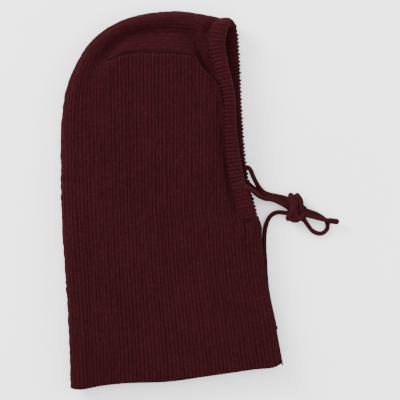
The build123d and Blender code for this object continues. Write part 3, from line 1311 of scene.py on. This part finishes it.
@dataclass
class HemCastOff:
    """The chain of cast-off loops round the neck's open end."""

    panels: Sequence[bpy.types.Object]
    strip: bpy.types.Object
    right: SidePanel
    crown: CrownStrip
    size: float = 3.1
    stitch: float = 3.75
    rings: int = 6
    smoothings: int = 3

    def edge(self, piece: bpy.types.Object, columns: int) -> np.ndarray:
        """Reads the middle of a piece's hem edge.

        Args:
            piece: the piece of cloth.
            columns: how many corners its hem has.

        Returns:
            The places in millimetres.
        """
        places = corners_of(piece)
        half = len(places) // 2
        outer, inner = places[:columns], places[half : half + columns]
        middle = 0.5 * (outer + inner)
        middle[:, 1] = inner[:, 1]
        return middle

    def build(self, dye: Dye) -> bpy.types.Object:
        """Makes the chain round the opening.

        Args:
            dye: what dresses it.

        Returns:
            The chain.
        """
        columns = self.right.ribs * self.right.samples + 1
        top = self.edge(self.panels[0], columns)
        low = self.edge(self.panels[1], columns)
        back = self.edge(self.strip, 2 * self.crown.ribs * self.crown.samples + 1)
        ring = np.concatenate([top[::3], low[::-3], back[::-3]])
        ring = np.concatenate([ring, ring[:1]])
        girth = run_along(ring)[-1]
        stitches = int(round(girth / self.stitch))
        line = points_at(ring, np.linspace(0, girth, stitches * self.rings, endpoint=False))
        for _ in range(self.smoothings):
            line = (np.roll(line, 1, axis=0) + 2 * line + np.roll(line, -1, axis=0)) / 4
        piece = chain(knitted_name("hem_cast_off"), line, self.size, girth / stitches, self.stitch, closed=True)
        dye.assign(piece, "hem_cast_off", RIB_FINISH)
        return piece


# --------------------------------------------------------------------------- drawcord


@dataclass(frozen=True)
class Bend:
    """Where a run bends from the body it leaves to the body it goes to, in metres."""

    leaves: Body
    start: Point
    end: Point


@dataclass
class CordRun:
    """One run of the knitted drawcord, from where it comes out to its far end."""

    node: str
    body: Body
    points: Sequence[Point]
    length: float
    far_end: str
    bend: Optional[Bend] = None
    lay: str = "loose"
    diameter: float = 4.5
    spacing: float = 0.7

    def build(self, dye: Dye, with_pieces: Sequence[bpy.types.Object] = ()) -> bpy.types.Object:
        """Makes the run.

        Args:
            dye: what dresses it.
            with_pieces: the separate pieces on it; not used.

        Returns:
            The run.
        """
        route = Route(self.points)
        piece = knitted_cord(knitted_name(self.node), self.points, self.spacing, self.diameter)
        dye.assign(piece, self.node, CORD_FINISH, body=None)
        if self.bend is None:
            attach(piece, self.body.value)
        else:
            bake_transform(piece)
        LOG.info("%s: spline %.1f mm, declared %.1f mm", self.node, route.length, self.length)
        return piece


@dataclass
class BoundEnd:
    """The end of a tail, drawn in and bound with yarn."""

    node: str
    body: Body
    start: Point
    towards: Point
    length: float = 4.4
    diameter: float = 5.8
    dome: float = 1.9
    yarn: float = 1.0
    swell: float = 1.14

    def build(self, dye: Dye) -> bpy.types.Object:
        """Makes the end.

        Args:
            dye: what dresses it.

        Returns:
            The end.
        """
        start, towards = Vector(self.start), Vector(self.towards)
        radius = self.diameter / 2 * MM
        bpy.ops.object.select_all(action="DESELECT")
        bpy.ops.mesh.primitive_cylinder_add(vertices=20, radius=radius * 0.86, depth=0.5 * MM, location=(0, 0, 0))
        piece = bpy.context.object
        piece.name = knitted_name(self.node)
        bpy.ops.object.mode_set(mode="EDIT")
        self.select_tip(piece)
        body = self.length - self.dome
        turns = max(3, int(round(body / self.yarn)))
        for _ in range(turns):
            for share, grow in ((0.3, self.swell), (0.4, 1.0), (0.3, 1 / self.swell)):
                self.draw_out(share * body / turns, grow)
        for share, grow in ((0.40, 0.97), (0.30, 0.84), (0.20, 0.66), (0.10, 0.45)):
            self.draw_out(share * self.dome, grow)
        bpy.ops.mesh.select_all(action="SELECT")
        bpy.ops.mesh.normals_make_consistent(inside=False)
        bpy.ops.object.mode_set(mode="OBJECT")
        bpy.ops.object.shade_smooth()
        self.map_yarn(piece)
        piece.rotation_euler = (towards - start).to_track_quat("Z", "Y").to_euler()
        piece.location = start * MM
        bpy.ops.object.transform_apply(location=True, rotation=True, scale=True)
        dye.assign(piece, self.node, CORD_FINISH, self.body)
        return piece

    @staticmethod
    def select_tip(piece: bpy.types.Object) -> None:
        """Selects the flat face at the end's tip and nothing else."""
        bpy.ops.mesh.select_mode(type="FACE")
        mesh = bmesh.from_edit_mesh(piece.data)
        highest = max(face.calc_center_median().z for face in mesh.faces)
        for face in mesh.faces:
            face.select_set(face.calc_center_median().z > highest - 1e-7)
        bmesh.update_edit_mesh(piece.data)

    @staticmethod
    def draw_out(step: float, grow: float) -> None:
        """Draws the selected face out along the end and changes its size."""
        bpy.ops.mesh.extrude_region_move(TRANSFORM_OT_translate={"value": (0, 0, step * MM)})
        bpy.ops.transform.resize(value=(grow, grow, 1.0), center_override=(0, 0, 0))

    @staticmethod
    def map_yarn(piece: bpy.types.Object) -> None:
        """Lays the finish's map round the end: across it and along it, in stitches."""
        mesh, places = piece.data, corners_of(piece)
        corners = np.zeros(len(mesh.loops), np.int32)
        mesh.loops.foreach_get("vertex_index", corners)
        angle = np.arctan2(places[:, 1], places[:, 0]) / (2 * math.pi)
        uv = np.stack([angle * CORD_RIBS, places[:, 2]], axis=-1)[corners]
        while mesh.uv_layers:
            mesh.uv_layers.remove(mesh.uv_layers[0])
        mesh.uv_layers.new(name=KNIT_MAP).data.foreach_set("uv", uv.astype(np.float32).ravel())


@dataclass
class Knot:
    """The drawcord's bow knot: turns of cord drawn tight round the strands."""

    turns: Sequence[Sequence[Point]] = (
        (
            (119.8, 0.4, 3.8), (119.2, 4.4, 6.0), (119.0, 4.8, 10.6), (119.8, 0.8, 14.4), (121.0, -6.5, 15.4),
            (119.6, -13.0, 15.0), (116.8, -18.2, 12.0), (116.6, -18.6, 5.6), (118.6, -14.8, 3.2), (120.0, -6.0, 2.6),
            (120.0, 1.5, 3.4), (119.6, 5.0, 5.6),
        ),
        (
            (124.0, -1.0, 3.8), (125.4, 3.8, 5.8), (125.8, 4.8, 10.2), (124.0, 0.4, 13.4), (122.6, -7.5, 13.0),
            (123.4, -14.4, 14.2), (125.2, -19.9, 11.2), (124.8, -19.6, 5.6), (124.0, -14.4, 3.2), (123.4, -5.0, 2.6),
            (124.0, 3.0, 3.6), (124.8, 4.6, 6.2),
        ),
        (
            (122.6, 3.2, 9.4), (125.8, 3.4, 12.0), (128.4, 0.4, 12.4), (129.0, -4.4, 11.6), (129.0, -9.0, 10.4),
            (127.0, -12.4, 8.4),
        ),
        (
            (117.0, -15.6, 10.0), (119.6, -19.4, 12.4), (124.4, -20.2, 13.2), (128.6, -17.4, 11.6), (132.2, -14.6, 9.0),
        ),
        ((114.0, 0.6, 6.2), (119.0, -1.2, 7.4), (125.0, -4.2, 8.0), (130.5, -7.4, 8.2), (134.6, -10.2, 8.0)),
        ((114.6, -6.4, 8.0), (119.0, -7.8, 8.4), (125.0, -10.2, 8.6), (131.0, -13.2, 8.6), (135.0, -15.0, 9.0)),
        ((115.0, -12.6, 6.4), (119.5, -13.6, 6.8), (124.5, -15.0, 7.2), (129.5, -17.0, 7.6), (133.4, -20.4, 6.8)),
    )
    diameter: float = 5.9
    spacing: float = 0.6

    def build(self, dye: Dye) -> list[bpy.types.Object]:
        """Ties the knot.

        Args:
            dye: what dresses it.

        Returns:
            Its turns, the first of which stands for the CAD node.
        """
        made = []
        for i, points in enumerate(self.turns):
            piece = knitted_cord(f"drawcord_knot_turn_{i + 1}", points, self.spacing, self.diameter)
            node = "drawcord_knot" if i == 0 else ""
            dye.assign(piece, node, CORD_FINISH, Body.TIED_CORD)
            made.append(piece)
        return made


# --------------------------------------------------------------------------- studio


@dataclass
class Studio:
    """The pale floor, the camera above it and the soft lights."""

    centre: Flat = (28.0, 0.0)
    height: float = 2015.0
    lens: float = 180.0
    sensor: float = 36.0
    floor_size: float = 8.0
    floor_z: float = -0.0007
    sky: float = 1.3
    lamps: Sequence[tuple[str, Point, float, float, Point]] = (
        ("key_light", (-1.35, 1.15, 1.25), 0.9, 92.0, (1.0, 0.99, 0.97)),
        ("fill_light", (1.7, 0.2, 1.3), 1.2, 30.0, (0.98, 0.99, 1.0)),
        ("head_light", (0.0, 0.0, 2.6), 2.4, 74.0, (1.0, 1.0, 1.0)),
    )

    def camera(self) -> bpy.types.Object:
        """Hangs the camera straight above the hood, with the crown at the top of its view.

        Returns:
            The camera.
        """
        data = bpy.data.cameras.new("camera")
        data.lens = self.lens
        data.sensor_width = self.sensor
        data.sensor_fit = "HORIZONTAL"
        data.clip_end = 50
        camera = bpy.data.objects.new("camera", data)
        bpy.context.scene.collection.objects.link(camera)
        camera.location = (self.centre[0] * MM, self.centre[1] * MM, self.height * MM)
        bpy.context.scene.camera = camera
        return camera

    def lamp(self, name: str, place: Point, size: float, power: float, colour: Point) -> bpy.types.Object:
        """Hangs a square soft light that faces the hood.

        Args:
            name: the lamp's name.
            place: where it hangs, in metres.
            size: its side in metres.
            power: its power in watts.
            colour: its colour.

        Returns:
            The lamp.
        """
        data = bpy.data.lights.new(name, "AREA")
        data.size = size
        data.energy = power
        data.color = colour
        lamp = bpy.data.objects.new(name, data)
        bpy.context.scene.collection.objects.link(lamp)
        lamp.location = place
        lamp.rotation_euler = (-Vector(place)).to_track_quat("-Z", "Y").to_euler()
        return lamp

    def build(self, dye: Dye) -> None:
        """Lays the floor and sets the lights.

        Args:
            dye: what dresses the floor.
        """
        bpy.ops.object.select_all(action="DESELECT")
        bpy.ops.mesh.primitive_plane_add(size=self.floor_size, location=(0, 0, self.floor_z))
        floor = bpy.context.object
        floor.name = "floor"
        bpy.ops.object.transform_apply(location=True, rotation=True, scale=True)
        dye.dress(floor, FloorFinish())
        for row in self.lamps:
            self.lamp(*row)
        world = bpy.data.worlds.new("studio")
        world.use_nodes = True
        background = world.node_tree.nodes["Background"]
        background.inputs[0].default_value = (1.0, 1.0, 1.0, 1.0)
        background.inputs[1].default_value = self.sky
        bpy.context.scene.world = world


# --------------------------------------------------------------------------- assembly

RIGHT_STRAND = (
    (71.0, 12.6, 27.5), (73.5, 12.4, 31.4), (77.0, 11.4, 30.6), (81.5, 8.4, 25.6), (86.0, 4.4, 20.0), (92.0, 1.2, 15.8),
    (99.0, 1.0, 13.0), (106.0, -1.8, 12.0), (112.6, -5.2, 11.0), (117.6, -8.2, 10.0), (122.0, -9.5, 8.6),
)
LEFT_STRAND = (
    (74.0, 18.6, 6.4), (79.9, 13.4, 6.2), (86.0, 8.8, 7.0), (92.5, 5.0, 8.0), (100.0, 3.0, 8.3), (108.0, 0.0, 7.8),
    (115.0, -3.6, 7.4), (121.0, -5.0, 7.6),
)
TUCKED_STRAND = (
    (65.5, 29.0, 15.2), (72.0, 32.4, 15.0), (77.6, 32.8, 14.4), (80.8, 24.4, 12.4), (85.6, 14.8, 8.8), (91.0, 8.2, 5.4),
    (97.5, 5.4, 3.4), (104.5, 4.2, 3.4), (111.0, 3.0, 4.6), (116.2, 1.2, 6.0), (120.5, -1.4, 7.0),
)
BOW_LOOP = (
    (128.6, -8.4, 8.4), (134.0, -10.2, 8.0), (142.5, -12.8, 6.2), (150.5, -16.8, 4.0), (156.4, -22.0, 3.0),
    (156.6, -29.6, 2.8), (150.0, -34.8, 2.8), (141.0, -31.8, 3.6), (135.6, -24.2, 5.4), (130.4, -17.0, 8.0),
)
SHORT_TAIL = (
    (128.8, -13.4, 8.2), (134.0, -15.0, 8.8), (141.0, -16.8, 10.6), (149.0, -18.8, 10.8), (157.0, -20.6, 9.4),
    (163.2, -21.4, 7.8),
)
LONG_TAIL = (
    (119.5, -13.4, 6.2), (112.7, -12.8, 4.4), (105.0, -12.0, 3.3), (98.0, -16.2, 2.5), (94.2, -25.0, 2.4),
    (92.8, -34.6, 2.4), (92.6, -48.0, 2.4), (93.6, -62.0, 2.4), (94.2, -77.0, 2.4), (95.6, -92.0, 2.4),
    (99.2, -110.0, 2.7), (103.2, -127.0, 2.7),
)
CASED_CORD = (
    (77.2, 11.9, 25.71), (69.0, 15.0, 25.71), (65.0, 30.0, 26.2), (58.5, 90.0, 27.8), (48.0, 145.0, 29.2),
    (51.0, 163.0, 29.7), (51.0, 178.5, 30.1), (51.0, 178.5, 4.6), (51.0, 164.0, 4.6), (60.5, 120.0, 4.6),
    (62.5, 70.0, 4.6), (69.5, 18.0, 4.6), (70.0, 15.0, 4.6), (77.2, 11.9, 4.6),
)

STRANDS = tuple(
    CordRun(f"drawcord_{name}_strand", Body.TIED_CORD, points, length, "knot", Bend(Body.HOOD, start, end))
    for name, points, length, start, end in (
        ("right", RIGHT_STRAND, 62.0, (0.0765, 0.0118, 0.0255), (0.0835, 0.0085, 0.0255)),
        ("left", LEFT_STRAND, 52.0, (0.0760, 0.0170, 0.006), (0.0850, 0.0095, 0.006)),
        ("tucked", TUCKED_STRAND, 72.0, (0.0725, 0.0300, 0.014), (0.0865, 0.0180, 0.014)),
    )
)


@dataclass
class Balaclava:
    """The whole hood: cloth, seams and drawcord."""

    form: HoodForm = field(default_factory=HoodForm)
    dye: Dye = field(default_factory=Dye)

    def drawcord(self) -> None:
        """Makes the drawcord's runs, its knot and its bound ends."""
        knot = Knot().build(self.dye)
        for strand, on_it in zip(STRANDS, (knot, (), ())):
            strand.build(self.dye, on_it)
        short_end = BoundEnd("short_tail_end", Body.BOW, SHORT_TAIL[-2], SHORT_TAIL[-1], 10.8, 6.2).build(self.dye)
        CordRun("bow_loop", Body.BOW, BOW_LOOP, 78.0, "object").build(self.dye)
        CordRun("short_tail", Body.BOW, SHORT_TAIL, 36.0, "bare").build(self.dye, [short_end])
        heading = np.array(LONG_TAIL[-1]) * 2 - np.array(LONG_TAIL[-2])
        long_end = BoundEnd("long_tail_end", Body.LONG_TAIL, LONG_TAIL[-1], tuple(heading)).build(self.dye)
        bend = Bend(Body.TIED_CORD, (0.1158, -0.0130, 0.0048), (0.1045, -0.0160, 0.0033))
        CordRun("long_tail", Body.LONG_TAIL, LONG_TAIL, 137.0, "bare", bend).build(self.dye, [long_end])
        CordRun("drawcord_in_casing", Body.HOOD, CASED_CORD, 365.0, "object", lay="taut").build(self.dye)
        LOG.info("drawcord: knot of %d turns", len(knot))

    def cloth(self) -> None:
        """Makes the knitted pieces and the chains that join them."""
        panels = [SidePanel(self.form, side) for side in (Side.RIGHT, Side.LEFT)]
        knitted = [panel.build(self.dye) for panel in panels]
        crown = CrownStrip(self.form)
        strip = crown.build(self.dye)
        casing = FaceCasing(self.form).build(self.dye)
        hem = HemCastOff(knitted, strip, panels[0], crown).build(self.dye)
        for piece in [*knitted, strip, casing, hem]:
            LOG.info("%s: %d faces", piece.name, len(piece.data.polygons))

    def seams(self) -> None:
        """Makes the linked seams."""
        form = self.form

        def on_top(line: Sequence[Flat], under: float) -> list[Point]:
            """Lays a line on the upper layer, that far under its surface."""
            return [
                (x, y, float(form.top_z(np.array(y)) + form.lie(np.array(x), np.array(y))) - under) for x, y in line
            ]

        crown = [
            (-64, 138.3), (-55, 142.4), (-44, 145.8), (-30, 147), (-15, 147.2), (0, 146.6), (12, 145.7), (19, 144.4),
        ]
        tail = [(24, 140), (31, 130.5), (40, 121), (50, 113)]
        beside = [(x - 2.6, y) for x, y in form.near_front]
        front = [(float(form.front(np.array(y))) - 0.3, y, form.mid_z) for y in (-24, -50, -80, -110, -140, -166)]
        seams = [
            LinkedSeam("crown_seam_right", on_top(crown, 2.5) + on_top(tail, 5.0), size=1.8),
            LinkedSeam("crown_seam_left", [(x, y, 1.6) for x, y in crown + tail]),
            LinkedSeam("casing_seam_right", on_top(beside, 3.6)),
            LinkedSeam("casing_seam_left", [(x, y, 1.6) for x, y in beside]),
            LinkedSeam(
                "chin_seam",
                on_top([(65.0, -22.4), (70, -22.6), (76, -20.6), (81, -18.2)], 1.6)
                + [(84.2, -17.0, 22.0), (85.2, -17.2, 15.5), (83.4, -17.6, 8.0), (78, -20.5, 1.8), (68, -22.0, 1.2)],
                size=1.9,
            ),
            LinkedSeam("neck_front_seam", front),
        ]
        for seam in seams:
            LOG.info("%s: %d faces", seam.node, len(seam.build(self.dye).data.polygons))


def main() -> None:
    """Builds the hood around its frame."""
    logging.basicConfig(level=logging.INFO, format="%(name)s: %(message)s")
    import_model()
    hood = Balaclava()
    studio = Studio()
    studio.camera()
    hood.drawcord()
    hood.cloth()
    hood.seams()
    studio.build(hood.dye)


if __name__ == "__main__":
    main()
